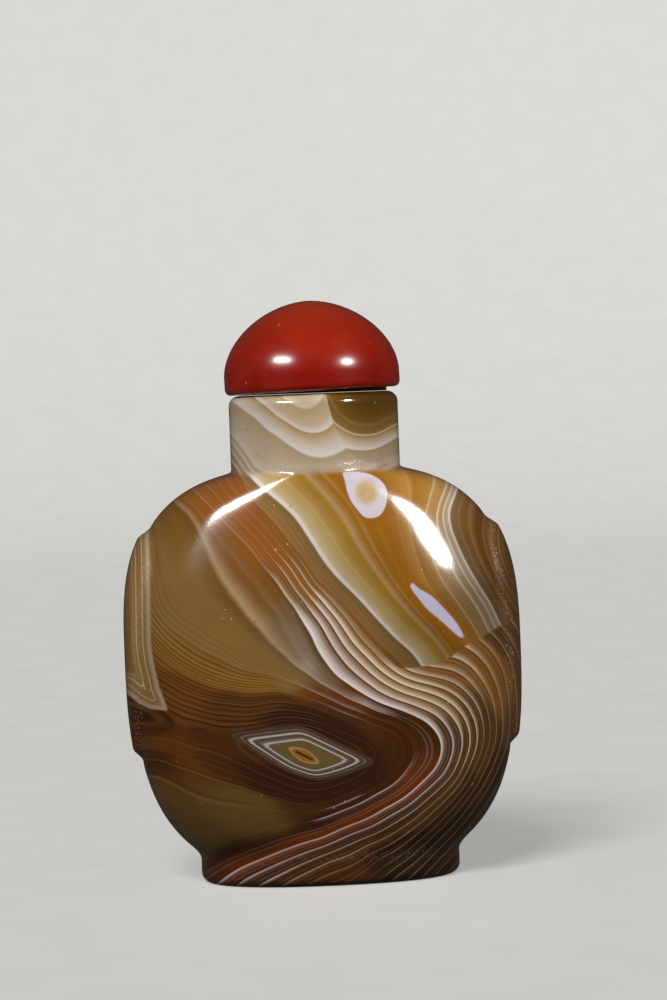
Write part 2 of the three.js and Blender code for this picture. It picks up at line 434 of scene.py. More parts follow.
neckRightGuides = [
    (0, [(300, 440), (330, 462), (375, 464), (400, 455)]),
    (1, [(300, 400), (318, 425), (345, 447), (372, 449), (398, 435)]),
    (2, [(320, 394), (329, 413), (345, 430), (366, 435), (397, 424)]),
    (3, [(326, 394), (337, 413), (355, 424), (375, 425), (397, 414)]),
    (5, [(352, 398), (375, 402)]),
]
faultLine = [(395, 668), (412, 668), (425, 666), (440, 662), (452, 657), (458, 650), (467, 645), (478, 640),
             (490, 632), (500, 626), (512, 618), (525, 610)]
eyeCorners = [(245.7, 739.4), (302, 732), (361.4, 760.7), (340, 771), (315.4, 776), (290, 768)]
eyeSlit = ((295, 751), (313, 760))
dropOutline = [(343, 473), (349, 471.5), (360, 472), (370.5, 474.5), (380, 480), (386, 487.6), (387.4, 497),
               (385, 507.5), (380, 515), (372, 518), (364, 516.6), (357, 509), (350.6, 500), (347, 490.6),
               (345, 481)]
dropHeart = {"middle": (366.5, 492), "reach": (12.5, 14)}
lensOutline = [(410, 584), (413, 583), (420, 589), (432, 596), (444, 608), (456, 622), (464, 636), (461, 638),
               (452, 631), (440, 620), (428, 610), (418, 598), (412, 590)]
panelOutline = [(149, 528), (150, 560), (150.5, 600), (151, 643), (153.4, 661), (159.6, 687.5), (168.6, 711),
                (150, 709), (138, 703), (125, 692), (100, 685), (100, 528)]

stoneTones = {
    "rust": (134, 78, 24),
    "orange": (124, 79, 26),
    "olive": (118, 88, 42),
    "warmOlive": (114, 76, 24),
    "brown": (114, 74, 30),
    "grey": (104, 84, 58),
    "redBrown": (92, 50, 12),
    "umber": (68, 37, 12),
    "maroon": (47, 21, 8),
    "chestnut": (62, 30, 5),
    "lowOlive": (92, 68, 30),
    "footOlive": (112, 84, 38),
    "dark": (44, 18, 3),
    "fox": (98, 44, 4),
    "rightBrown": (76, 48, 19),
    # these three tones, for the lower right and the foot, are darkened in part by painted shade
    "rightUmber": (56, 32, 9),
    "rightDark": (38, 19, 5),
    "footDark": (30, 13, 5),
    "footRust": (66, 34, 10),
    "white": (224, 211, 206),
    "cream": (216, 198, 168),
    "sand": (176, 148, 110),
    "pinkGrey": (166, 142, 130),
    "lilac": (196, 176, 172),
    "fawn": (128, 94, 54),
}

# Zones of the ground under the sweeping bands: a tone, then places in it and how far each reaches in pixels
groundZones = [
    ("upper left shoulder", "rust", [(205, 503, 18), (232, 520, 20), (262, 530, 20), (250, 545, 14)]),
    ("strip above the white fan", "orange", [(290, 552, 16), (320, 590, 18), (350, 625, 18)]),
    ("long lens, brown end", "brown", [(215, 545, 16), (245, 580, 20), (262, 603, 16)]),
    ("long lens, grey end", "grey", [(280, 628, 16), (303, 655, 16), (320, 672, 12)]),
    ("clear olive field", "olive", [
        (160, 565, 26), (190, 585, 24), (175, 620, 24), (215, 632, 20), (250, 655, 16), (290, 676, 10)]),
    ("warm rim of the olive field", "warmOlive", [
        (180, 535, 18), (185, 652, 14), (215, 668, 12), (255, 680, 10), (160, 655, 12)]),
    ("striped slope", "redBrown", [(165, 680, 18), (190, 694, 14), (318, 694, 10), (350, 699, 12)]),
    ("striped slope, lower part", "umber", [(222, 706, 14), (255, 706, 14), (335, 708, 10), (368, 730, 10)]),
    ("dark above the eye", "maroon", [(295, 714, 12), (328, 721, 10), (350, 728, 10)]),
    ("left of the eye", "umber", [(205, 745, 16), (232, 744, 12), (225, 768, 14)]),
    ("left of the eye, lit", "redBrown", [(172, 742, 16), (190, 772, 14), (180, 786, 12)]),
    ("left edge", "chestnut", [(148, 728, 16), (158, 765, 14)]),
    ("dark round the eye", "maroon", [
        (250, 772, 14), (275, 786, 14), (312, 797, 14), (350, 786, 12), (384, 770, 12)]),
    ("dark turn of the bands", "chestnut", [
        (392, 748, 12), (402, 762, 10), (418, 745, 12), (385, 714, 12), (428, 740, 10)]),
    ("red lower turn", "fox", [(404, 788, 12), (425, 762, 10)]),
    ("low olive field", "lowOlive", [(165, 800, 22), (195, 805, 24), (245, 815, 20), (275, 826, 14)]),
    ("low olive field, near the foot", "footOlive", [(212, 830, 18), (185, 830, 18)]),
    ("edge of the low field", "umber", [(300, 814, 12)]),
    ("dark band under it", "dark", [(225, 852, 14), (268, 842, 14), (310, 825, 14)]),
    ("dark band, right part", "chestnut", [(352, 807, 12), (386, 790, 10)]),
    ("red band under it", "fox", [(240, 863, 12), (282, 849, 14), (320, 835, 14), (362, 817, 14)]),
    ("white fan", "brown", [
        (345, 655, 14), (375, 684, 14), (410, 700, 14), (440, 700, 14), (505, 688, 14), (480, 672, 14)]),
    ("right side", "rightBrown", [
        (452, 742, 14), (470, 740, 16), (490, 740, 16), (512, 715, 14), (516, 655, 14), (436, 806, 12)]),
    # low on the right and at the foot's right part the stone is darkened in part by painted shade
    ("right side, lower part", "rightUmber", [(482, 788, 18), (458, 800, 14)]),
    ("right side, near the foot", "rightDark", [
        (455, 826, 16), (430, 848, 18), (500, 775, 14), (395, 856, 16), (465, 850, 16)]),
    ("lower bands", "umber", [(395, 822, 12), (350, 842, 12), (300, 862, 12)]),
    ("foot, left part", "footRust", [(215, 878, 12), (262, 880, 12), (312, 882, 12), (352, 884, 12)]),
    ("foot, right part", "footDark", [(400, 880, 14), (440, 872, 14)]),
]

# Light lines of the sweeping bands: place, reach, tone, strength, and the share of a level that it fades over
linePlaces = [
    (215, 520, 24, "pinkGrey", 0.18, 0.25), (245, 545, 22, "pinkGrey", 0.20, 0.25),
    (290, 592, 14, "cream", 0.6, 0.35), (320, 640, 20, "white", 1.0, 0.8),
    (345, 660, 22, "white", 1.0, 0.9), (375, 672, 22, "cream", 1.0, 0.95),
    (405, 690, 22, "cream", 1.0, 0.95), (440, 700, 20, "cream", 0.85, 0.8),
    (465, 705, 16, "cream", 0.7, 0.5), (380, 700, 16, "white", 1.0, 0.9),
    (425, 722, 14, "white", 0.95, 0.7), (450, 742, 16, "white", 0.8, 0.26),
    (470, 745, 14, "cream", 0.75, 0.24), (490, 740, 16, "sand", 0.6, 0.22),
    (510, 712, 18, "sand", 0.5, 0.25), (490, 680, 16, "sand", 0.7, 0.4), (470, 665, 12, "cream", 0.8, 0.5),
    (435, 775, 14, "white", 0.7, 0.28), (455, 785, 16, "sand", 0.6, 0.25),
    (480, 800, 20, "sand", 0.45, 0.22), (400, 800, 18, "white", 0.75, 0.28),
    (425, 820, 18, "sand", 0.6, 0.25), (450, 835, 20, "sand", 0.4, 0.22),
    (350, 826, 18, "lilac", 0.9, 0.26), (290, 852, 18, "lilac", 0.85, 0.26),
    (240, 870, 18, "lilac", 0.9, 0.26), (370, 850, 18, "sand", 0.6, 0.22),
    (320, 872, 16, "sand", 0.6, 0.26), (400, 870, 18, "sand", 0.45, 0.2),
    (200, 540, 20, "sand", 0.6, 0.16), (226, 590, 18, "sand", 0.65, 0.22),
    (250, 622, 16, "sand", 0.65, 0.24), (280, 655, 14, "sand", 0.4, 0.3),
    (320, 688, 12, "pinkGrey", 0.6, 0.4), (346, 704, 12, "pinkGrey", 0.6, 0.45),
    (380, 719, 12, "fawn", 0.3, 0.35), (408, 728, 10, "fawn", 0.1, 0.3), (350, 728, 12, "fawn", 0.06, 0.4),
    (378, 742, 14, "fawn", 0.05, 0.4), (392, 760, 12, "fawn", 0.05, 0.4),
    (165, 625, 16, "fawn", 0.25, 0.3), (210, 645, 16, "fawn", 0.4, 0.3), (260, 668, 14, "fawn", 0.45, 0.3),
    (160, 690, 20, "fawn", 0.2, 0.4), (230, 700, 20, "fawn", 0.2, 0.4), (300, 700, 16, "fawn", 0.2, 0.4),
    (170, 740, 20, "fawn", 0.1, 0.4), (230, 765, 20, "fawn", 0.1, 0.4), (300, 790, 20, "fawn", 0.12, 0.4),
    (180, 788, 14, "fawn", 0.55, 0.08), (225, 803, 14, "fawn", 0.5, 0.08),
    (262, 806, 12, "fawn", 0.15, 0.1), (260, 822, 16, "fawn", 0.1, 0.2), (220, 845, 18, "fawn", 0.05, 0.3),
]

# Brightness of the shoulder's stone, partly its own tone and partly painted light and shade, lighter near the
# neck and darker low on the right: place, reach, factor
shoulderToneAndLightPlaces = [
    (300, 490, 30, 1.12), (400, 485, 30, 1.1), (345, 520, 30, 0.98), (432, 482, 16, 1.3),
    (450, 500, 20, 1.05), (380, 580, 26, 0.78), (430, 640, 26, 0.64), (460, 640, 22, 0.55),
    (400, 560, 24, 0.82), (480, 610, 22, 0.32), (460, 560, 20, 0.7), (480, 540, 20, 0.85),
    (510, 600, 20, 0.65), (290, 560, 20, 0.92), (350, 620, 20, 0.82),
]

# The bands' slant through the stone: where it starts and eases in, in mm, then pixels for each mm to the back
stoneSlant = {"start": -0.5, "ease": 1.5, "across": -2.4, "down": 3.2}
# Where one part of the stone gives way to another, in pixels of the photograph or in levels of the bands
stoneEdges = {
    "stripesDown": (735, 722),
    "stripesTilt": (0.12, 200),
    "stripesRight": (360, 300),
    "lowFieldDown": (772, 790),
    "lowFieldLevel": (-3.2, -2.8),
    "oliveLevel": (-2.2, -1.9),
    "bareRight": (380, 404),
    "bareDown": (735, 750),
    "bareFrom": (-1.35, -1.1),
    "bareTo": (-0.06, -0.16),
    "stripesLevel": (-1.5, -1.9),
    "fadingLevel": (3.5, 3.9),
    "fadingLeft": (398, 378),
    "shoulderLevel": (4.5, 4.8),
    "rightLevel": (13.1, 13.3),
    "footGrainAndGlintLeft": (275, 310),
    "footGrainAndGlintRight": (460, 420),
}
# The middle, reach and strength of the creases' grain and its painted glints, by height for the two creases
# and by distance from the panel's edge
grainAndGlintPlaces = {"neck": (46.9, 0.5, 0.7), "foot": (3.2, 0.6, 0.3), "panel": (-0.1, 0.45, 0.6)}


def bandField(guides, slack):
    # a smooth sheet through the guides, which it may miss a little for smoothness
    scale = 100.0
    points = np.array([p for level, line in guides for p in line], float) / scale
    levels = np.array([level for level, line in guides for p in line], float)
    count = len(points)

    def kernel(at):
        square = ((at[:, None, :] - points[None, :, :]) ** 2).sum(2)
        return square * np.log(square + 1e-9)

    system = np.zeros((count + 3, count + 3))
    flat = np.c_[np.ones(count), points]
    system[:count, :count] = kernel(points) + slack * np.eye(count)
    system[:count, count:] = flat
    system[count:, :count] = flat.T
    weights = np.linalg.solve(system, np.r_[levels, 0, 0, 0])

    def field(at):
        at = at / scale
        return kernel(at) @ weights[:count] + np.c_[np.ones(len(at)), at] @ weights[count:]

    return lambda at: np.concatenate([field(part) for part in np.array_split(at, max(1, len(at) // 8000))])


def rounded(corners, steps=8):
    # a smooth closed curve through the corners
    here = np.array(corners, float)
    before, after, later = np.roll(here, 1, 0), np.roll(here, -1, 0), np.roll(here, -2, 0)
    curve = []
    for share in np.arange(steps) / steps:
        bend = 2 * before - 5 * here + 4 * after - later
        twist = 3 * here - before - 3 * after + later
        curve.append(here + 0.5 * ((after - before) * share + bend * share ** 2 + twist * share ** 3))
    return np.stack(curve, 1).reshape(-1, 2)


def outlineDistance(at, outline):
    # distance to an outline in pixels, negative inside it
    corners = np.array(outline, float)
    inside = np.zeros(len(at), bool)
    nearest = np.full(len(at), 1e9)
    for start, end in zip(corners, np.roll(corners, -1, 0)):
        side = end - start
        share = np.clip(((at - start) @ side) / (side @ side), 0, 1)
        nearest = np.minimum(nearest, np.linalg.norm(at - start - share[:, None] * side, axis=1))
        crosses = (start[1] > at[:, 1]) != (end[1] > at[:, 1])
        height = end[1] - start[1] if abs(end[1] - start[1]) > 1e-9 else 1e-9
        inside ^= crosses & (at[:, 0] < start[0] + (at[:, 1] - start[1]) / height * side[0])
    return np.where(inside, -nearest, nearest)


def outlineGauge(at, outline, sharpness=12):
    # 0 at the middle of a convex outline, 1 on it
    corners = np.array(outline, float)
    middle = corners.mean(0)
    total = np.zeros(len(at))
    for start, end in zip(corners, np.roll(corners, -1, 0)):
        side = end - start
        normal = np.array((side[1], -side[0]))
        reach = (start - middle) @ normal
        total += np.clip(((at - middle) @ normal) / reach, 0, None) ** sharpness
    return total ** (1 / sharpness)


def bottleHalf(height, largest, foot, middle, exponent):
    s = bottleShape
    above = (s["neckBase"] - middle) / remaining(s["neckRadius"] / largest, exponent)
    below = (middle - s["footHeight"]) / remaining(foot / largest, exponent)
    share = (height - middle) / np.where(height > middle, above, below)
    end = np.where(height > middle, s["neckRadius"], foot)
    return softLarger(largest * remaining(share, exponent), end, s["creaseBlend"])


def profileAt(step, *profile):
    # what a profile's lists hold at a place between two of its points
    return [np.interp(step, np.arange(len(values)), values) for values in profile]


def bottleRings(halfWidth, halfDepth, top):
    # one row a ring, from the middle of the underside round to the floor of the hollow
    s = bottleShape
    rows = []

    def outer(height, inset=0.0):
        width = bottleHalf(height, halfWidth, s["footHalfWidth"], s["widestHeight"], s["outlineExponent"])
        depth = bottleHalf(height, halfDepth, s["footHalfDepth"], s["deepestHeight"], s["depthExponent"])
        exponent = s["footExponent"]
        for end, start, stop in (
            (s["bellyExponent"], s["footHeight"], s["footHeight"] + s["footEase"]),
            (s["shoulderExponent"], *s["shoulderEase"]),
            (2.0, s["neckBase"] - s["neckEase"], s["neckBase"]),
        ):
            exponent = exponent + (end - exponent) * smooth(start, stop, height)
        return width - inset, depth - inset, exponent

    def add(height, width, depth, exponent, kind):
        rows.append((height, width, depth, exponent, kind))

    width, depth, exponent = outer(np.array(0.0), s["rimWidth"] + s["recessEase"])
    for share in np.linspace(0, 1, 8)[:-1]:
        add(s["recessDepth"], width * share, depth * share, exponent, 0)
    for share in np.linspace(0, 1, 4):
        width, depth, exponent = outer(np.array(0.0), s["rimWidth"] + s["recessEase"] * (1 - share))
        add(s["recessDepth"] * (1 - share), width, depth, exponent, 0)
    for inset in np.linspace(s["rimWidth"], s["footRound"], 4)[1:-1]:
        width, depth, exponent = outer(np.array(0.0), inset)
        add(0.0, width, depth, exponent, 0)
    for turn in np.linspace(0, math.pi / 2, 9)[:-1]:
        height = s["footRound"] * (1 - math.cos(turn))
        width, depth, exponent = outer(np.array(height), edgeInset(s["footRound"], height))
        add(height, width, depth, exponent, 1)
    heights = np.linspace(s["footRound"], top - s["lipRound"], 4000)
    width, depth, exponent = outer(heights)
    for step in evenSteps(width, heights, s["bodyRings"]):
        add(*profileAt(step, heights, width, depth, exponent), 1)
    for turn in np.linspace(0, math.pi / 2, 9)[1:]:
        down = s["lipRound"] * (1 - math.sin(turn))
        add(top - down, *(s["neckRadius"] - edgeInset(s["lipRound"], down),) * 2, 2.0, 1)
    mouth = s["mouthRadius"] + s["mouthChamfer"]
    for radius in np.linspace(s["neckRadius"] - s["lipRound"], mouth, 5)[1:]:
        add(top, radius, radius, 2.0, 1)
    add(top - s["mouthChamfer"], s["mouthRadius"], s["mouthRadius"], 2.0, 2)
    middle = (s["hollowBottom"] + s["hollowTop"]) / 2
    reach = (s["hollowTop"] - s["hollowBottom"]) / 2
    bottom = np.linspace(math.acos(-0.9999), 0, 3000)
    neck = np.linspace(top - s["mouthChamfer"] - 0.6, s["hollowTop"], 400)
    heights = np.r_[neck, middle - reach * np.cos(bottom)]
    inner = remaining((heights - middle) / reach, s["hollowExponent"])
    bore = np.where(heights > middle, s["mouthRadius"], 0.0)
    width = softLarger(s["hollowHalfWidth"] * inner, bore, 0.8)
    depth = softLarger(s["hollowHalfDepth"] * inner, bore, 0.8)
    width, depth = (np.where(heights > s["hollowTop"], s["mouthRadius"], v) for v in (width, depth))
    exponent = 2 + (s["hollowExponent"] - 2) * smooth(s["hollowTop"] + 0.5, s["hollowTop"] - 4, heights)
    for step in evenSteps(width, heights, s["hollowRings"])[:-1]:
        add(*profileAt(step, heights, width, depth, exponent), 2)
    add(s["hollowBottom"], 0.0, 0.0, 2.0, 2)
    return np.array(rows)


def spinProfile(profile, sides, join=1e-4):
    # a profile of (radius, height) places, spun about the upright axis
    shell = bmesh.new()
    spots = [shell.verts.new((radius, 0, height)) for radius, height in profile]
    edges = [shell.edges.new(pair) for pair in zip(spots, spots[1:])]
    bmesh.ops.spin(shell, geom=spots + edges, cent=(0, 0, 0), axis=(0, 0, 1), angle=2 * math.pi,
                   steps=sides, use_merge=True, use_duplicate=False)
    bmesh.ops.remove_doubles(shell, verts=shell.verts, dist=join)
    return shell


def meshFrom(name, shell):
    mesh = bpy.data.meshes.new(name)
    shell.to_mesh(mesh)
    shell.free()
    return mesh


def latheShell(name, rings, sides):
    # a shell of rings on a unit circle, whose vertices are then moved to their places
    shell = spinProfile([(0 if at in (0, rings - 1) else 1, at) for at in range(rings)], sides)
    bmesh.ops.recalc_face_normals(shell, faces=shell.faces)
    mesh = meshFrom(name, shell)
    spots = np.zeros(len(mesh.vertices) * 3)
    mesh.vertices.foreach_get("co", spots)
    spots = spots.reshape(-1, 3)
    return mesh, np.round(spots[:, 2]).astype(int), np.arctan2(spots[:, 1], spots[:, 0]) % (2 * math.pi)


def moveVertices(mesh, spots):
    mesh.vertices.foreach_set("co", (spots * mm).ravel())
    mesh.update()


def shapeBottle():
    s = bottleShape
    low, high = (np.array(corner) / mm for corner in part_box("bottle"))
    halfWidth = (high[0] - low[0]) / 2 - s["panelRaise"]
    halfDepth = (high[1] - low[1]) / 2
    rows = bottleRings(halfWidth, halfDepth, high[2])
    mesh, ring, angle = latheShell("agate_bottle", len(rows), s["sides"])
    height, width, depth, exponent, kind = rows[ring].T

    # the angles are spread so that the widest ring's sides are equally long
    dense = np.linspace(0, 2 * math.pi, 7201)
    total = np.abs(np.cos(dense)) ** s["bellyExponent"] + np.abs(np.sin(dense)) ** s["bellyExponent"]
    share = total ** (-1 / s["bellyExponent"])
    across, along = halfWidth * np.cos(dense) * share, halfDepth * np.sin(dense) * share
    walked = np.r_[0, np.cumsum(np.hypot(np.diff(across), np.diff(along)))]
    angle = np.interp(angle / (2 * math.pi) * walked[-1], walked, dense)

    cos, sin = np.cos(angle), np.sin(angle)
    share = (np.abs(cos) ** exponent + np.abs(sin) ** exponent) ** (-1 / exponent)
    spots = np.c_[width * cos * share, depth * sin * share, height]

    # the raised oval panel on each narrow side, with a soft edge and a faint groove round it
    away = spots[:, 2] - s["panelMiddle"]
    ovalY, ovalZ = np.abs(spots[:, 1]) / s["panelHalfDepth"], np.abs(away) / s["panelHalfHeight"]
    power = s["panelExponent"]
    gauge = np.maximum((ovalY ** power + ovalZ ** power) ** (1 / power), 1e-3)
    steepY = ovalY ** (power - 1) / s["panelHalfDepth"]
    steepZ = ovalZ ** (power - 1) / s["panelHalfHeight"]
    slope = gauge ** (1 - power) * np.hypot(steepY, steepZ)
    edge = np.clip((gauge - 1) / np.maximum(slope, 0.02), -12, 12)
    raised = 1 - smooth(*s["panelEdge"], edge)
    lift = s["panelRaise"] * raised - s["grooveDepth"] * np.exp(-((edge - 0.6) / 0.35) ** 2)
    body = (kind == 1) & (height > s["footHeight"]) & (height < s["neckBase"])
    spots[:, 0] = np.where(body, spots[:, 0] * (1 + lift / np.maximum(width, 1)), spots[:, 0])
    moveVertices(mesh, spots)
    return mesh, spots, edge, body, kind


def blendPlaces(at, level, places, values, levelReach):
    # each vertex takes the values of the places near it, mostly those on its own band
    spots = np.array([p[:2] for p in places], float)
    reach = np.array([p[2] for p in places], float)
    own = sweepField(spots)
    gap = ((at[:, None, :] - spots[None]) ** 2).sum(2) / reach ** 2
    gap = gap + np.clip(np.abs(level[:, None] - own[None]) / levelReach, 0, 4) ** 2
    weight = np.exp(-0.5 * (gap - gap.min(1, keepdims=True)))
    return (weight @ np.array(values, float)) / weight.sum(1, keepdims=True)


def addValues(mesh, name, values):
    made = mesh.attributes.new(name, "FLOAT", "POINT")
    made.data.foreach_set("value", values.astype(np.float32))


def addTones(mesh, name, tones):
    made = mesh.attributes.new(name, "FLOAT_COLOR", "POINT")
    made.data.foreach_set("color", np.c_[tones[:, :3], np.ones(len(tones))].astype(np.float32).ravel())


sweepField = bandField(sweepGuides, 0.2)


def markBands(mesh, at, sweep):
    # the levels of each set of bands, and where the fine stripes show
    addValues(mesh, "sweepLevel", sweep)
    addValues(mesh, "shoulderLevel", bandField(shoulderGuides, 0.1)(at))
    addValues(mesh, "neckLeft", bandField(neckLeftGuides, 0.03)(at))
    addValues(mesh, "neckRight", bandField(neckRightGuides, 0.03)(at))
    fineLevel = np.interp(sweep, [-12, -8, -4, -3, -2, -1.5, -1, 0], [-36, -20, -12, -8, 0, 5, 6, 7])
    addValues(mesh, "fineLevel", fineLevel)
    edges = stoneEdges
    tilt, start = edges["stripesTilt"]
    slope = smooth(*edges["stripesDown"], at[:, 1] - tilt * (at[:, 0] - start))
    slope = slope * smooth(*edges["stripesRight"], at[:, 0])
    lowField = smooth(*edges["lowFieldDown"], at[:, 1]) * smooth(*edges["lowFieldLevel"], sweep)
    oliveField = smooth(*edges["oliveLevel"], sweep)
    addValues(mesh, "fineStrength", (0.14 + 0.86 * slope - 0.12 * lowField) * (1 - 0.65 * oliveField))
    fault = np.array(faultLine, float)
    above = np.interp(at[:, 0], fault[:, 0], fault[:, 1]) - at[:, 1]
    addValues(mesh, "aboveFault", np.clip(above, -30, 30))
    right, down = smooth(*edges["bareRight"], at[:, 0]), smooth(*edges["bareDown"], at[:, 1])
    addValues(mesh, "bareStone", np.maximum(right, down))


def markTones(mesh, at, sweep):
    # the ground's tone, which holds painted shade low on the right, the light lines' tone, strength and fade,
    # and the shoulder's brightness, partly its own and partly painted light and shade
    tones = {name: seen(*tone)[:3] for name, tone in stoneTones.items()}
    level = np.clip(sweep, -12, 14)
    zones = [(place, tones[tone]) for name, tone, places in groundZones for place in places]
    ground = blendPlaces(at, level, [place for place, tone in zones], [tone for place, tone in zones], 0.5)
    addTones(mesh, "groundTone", ground)
    lines = blendPlaces(at, level, linePlaces, [(*tones[p[3]], p[4], p[5]) for p in linePlaces], 0.7)
    addTones(mesh, "lineTone", lines)
    byLevel = np.interp(level, [4.4, 4.9, 6.4, 7.4, 8.6, 9.5, 12], [1, 0.75, 0.6, 0.9, 0.9, 0.6, 0.4])
    high = smooth(*stoneEdges["fadingLevel"], level)
    fading = 1 - 0.7 * high * smooth(*stoneEdges["fadingLeft"], at[:, 0])
    addValues(mesh, "lineStrength", lines[:, 3] * byLevel * fading)
    addValues(mesh, "lineFade", lines[:, 4])
    shades = blendPlaces(at, level, shoulderToneAndLightPlaces, [(p[3],) for p in shoulderToneAndLightPlaces], 50)
    addValues(mesh, "shoulderToneAndPaintedLight", shades[:, 0])


def markFeatures(mesh, at, direct):
    # the eye, the drop and the lens lie on the front alone, and the panel's lines run on round the side
    addValues(mesh, "eyeGauge", np.clip(outlineGauge(direct, eyeCorners), 0, 4))
    slit = np.array(eyeSlit, float)
    course = (slit[1] - slit[0]) / np.linalg.norm(slit[1] - slit[0])
    away = direct - slit.mean(0)
    addValues(mesh, "slitAlong", np.clip(away @ course, -60, 60))
    addValues(mesh, "slitAcross", np.clip(away @ (-course[1], course[0]), -60, 60))
    addValues(mesh, "dropDistance", np.clip(outlineDistance(direct, rounded(dropOutline)), -30, 30))
    heart = (direct - dropHeart["middle"]) / dropHeart["reach"]
    addValues(mesh, "dropHeart", np.clip(np.linalg.norm(heart, axis=1), 0, 4))
    addValues(mesh, "lensDistance", np.clip(outlineDistance(direct, rounded(lensOutline)), -30, 30))
    addValues(mesh, "panelNest", np.clip(-outlineDistance(at, panelOutline), -20, 40))


def markGrainAndGlint(mesh, spots, direct, edge, body, kind):
    # fine grain that the polish doesn't reach, with painted glints on it: in the creases and beside the
    # panels
    def near(name, value):
        middle, reach, strength = grainAndGlintPlaces[name]
        return strength * np.exp(-((value - middle) / reach) ** 2)

    across = direct[:, 0]
    foot = smooth(*stoneEdges["footGrainAndGlintLeft"], across) * smooth(*stoneEdges["footGrainAndGlintRight"], across)
    places = [near("neck", spots[:, 2]), near("foot", spots[:, 2]) * foot, near("panel", edge) * body]
    grain = np.maximum.reduce(places)
    addValues(mesh, "creaseGrainAndGlint", np.where(kind == 1, grain, 0))


def markBottle(mesh, spots, edge, body, kind):
    # the stone's bands run through it on a slant, so the sides and back follow from the front
    direct = photoPlace(spots)
    behind = np.clip(spots[:, 1] - stoneSlant["start"], 0, None)
    behind = behind ** 2 / (behind + stoneSlant["ease"])
    at = direct + np.c_[stoneSlant["across"] * behind, stoneSlant["down"] * behind]
    sweep = sweepField(at)
    markBands(mesh, at, sweep)
    markTones(mesh, at, sweep)
    markFeatures(mesh, at, direct)
    markGrainAndGlint(mesh, spots, direct, edge, body, kind)
    neckBase = bottleShape["neckBase"]
    addValues(mesh, "neckArea", smooth(neckBase - 0.5, neckBase + 0.4, spots[:, 2]))
    addValues(mesh, "frontSide", smooth(2.0, -0.5, spots[:, 1]))


agateFinish = {
    "roughness": 0.13,
    "coat": 0.5,
    "coatRoughness": 0.04,
    "ior": 1.54,
    "waviness": 0.00003,
    "wander": 0.02,
    "lineRise": 0.09,
    "lineShadow": 0.45,
    "stripeLight": 0.6,
    "stripeDark": 0.75,
    "hairShare": 0.12,
    "thinShare": 0.24,
    "creaseRoughness": 0.2,
    "creaseBump": 2.6,
    "grainAndPaintedGlint": 0.3,
    "dust": 0.5,
    "pits": 0.35,
}

shoulderRamp = [
    (4.0, (122, 78, 26)), (4.85, (124, 82, 34)), (5.0, (138, 100, 58)), (5.2, (128, 94, 50)),
    (5.75, (120, 88, 46)), (5.93, (98, 72, 42)), (6.02, (202, 188, 178)), (6.12, (204, 192, 176)),
    (6.28, (178, 160, 124)), (6.6, (166, 144, 98)), (7.0, (160, 130, 74)), (7.5, (146, 110, 44)),
    (7.75, (144, 106, 34)), (7.95, (166, 130, 84)), (8.2, (140, 96, 28)), (8.7, (144, 92, 18)),
    (9.4, (148, 96, 22)), (10.0, (162, 116, 52)), (10.15, (148, 100, 32)), (10.9, (156, 114, 54)),
    (11.0, (184, 156, 118)), (11.12, (160, 124, 70)), (11.85, (154, 118, 68)), (12.0, (196, 180, 156)),
    (12.15, (160, 132, 92)), (12.45, (156, 126, 84)), (12.55, (200, 188, 172)), (12.68, (160, 136, 104)),
    (12.9, (164, 140, 112)), (13.0, (210, 202, 196)), (13.12, (124, 94, 62)), (14.2, (112, 72, 30)),
]
rightRamp = [
    (13.2, (120, 90, 58)), (13.9, (114, 76, 34)), (14.05, (132, 98, 62)), (14.3, (104, 64, 20)),
    (15.0, (110, 72, 30)), (15.1, (122, 86, 48)), (15.4, (100, 60, 18)), (16.0, (100, 60, 20)),
    (17.0, (82, 48, 12)),
]
eyeRamp = [
    (0.0, (106, 82, 42)), (0.58, (98, 78, 44)), (0.68, (92, 76, 50)), (0.735, (178, 168, 158)),
    (0.79, (104, 90, 78)), (0.89, (74, 58, 46)), (0.94, (90, 76, 64)), (0.99, (184, 172, 158)),
    (1.045, (80, 64, 50)), (1.10, (62, 46, 34)), (1.14, (108, 92, 76)), (1.19, (56, 40, 28)),
    (1.28, (80, 62, 48)), (1.34, (48, 30, 20)), (1.5, (48, 26, 14)),
]
neckRampLeft = [
    (-1.5, (128, 92, 64)), (-1.05, (132, 98, 70)), (-0.95, (184, 168, 150)), (-0.8, (142, 114, 88)),
    (-0.6, (184, 168, 150)), (-0.45, (150, 126, 100)), (-0.3, (188, 174, 156)), (-0.15, (158, 138, 112)),
    (0.0, (190, 176, 160)), (0.2, (176, 160, 136)), (0.9, (158, 136, 106)), (1.0, (200, 190, 180)),
    (1.25, (190, 178, 164)), (1.6, (176, 156, 128)), (1.93, (156, 128, 88)), (2.0, (198, 188, 176)),
    (2.3, (178, 158, 130)), (2.9, (166, 142, 104)), (3.0, (190, 176, 156)), (3.4, (166, 140, 104)),
]
neckRampRight = [
    (0.0, (176, 160, 138)), (0.15, (164, 146, 120)), (0.9, (154, 132, 100)), (1.0, (200, 190, 180)),
    (1.3, (184, 168, 146)), (1.75, (156, 134, 100)), (1.95, (146, 118, 76)), (2.03, (190, 166, 130)),
    (2.2, (124, 96, 52)), (2.8, (112, 82, 34)), (3.0, (124, 94, 46)), (3.3, (104, 74, 26)),
    (4.2, (92, 62, 16)), (5.0, (84, 56, 14)),
]


nestRamp = [
    (-2.0, (110, 84, 52)), (0.0, (150, 124, 90)), (2.0, (160, 140, 112)), (4.0, (150, 128, 100)),
    (5.0, (132, 104, 70)), (7.5, (128, 98, 58)), (8.3, (180, 158, 122)), (9.3, (128, 98, 58)),
    (13.8, (134, 102, 56)), (14.6, (184, 164, 128)), (15.6, (130, 98, 52)), (18.0, (150, 116, 70)),
    (21.0, (122, 92, 50)), (30.0, (112, 82, 46)),
]


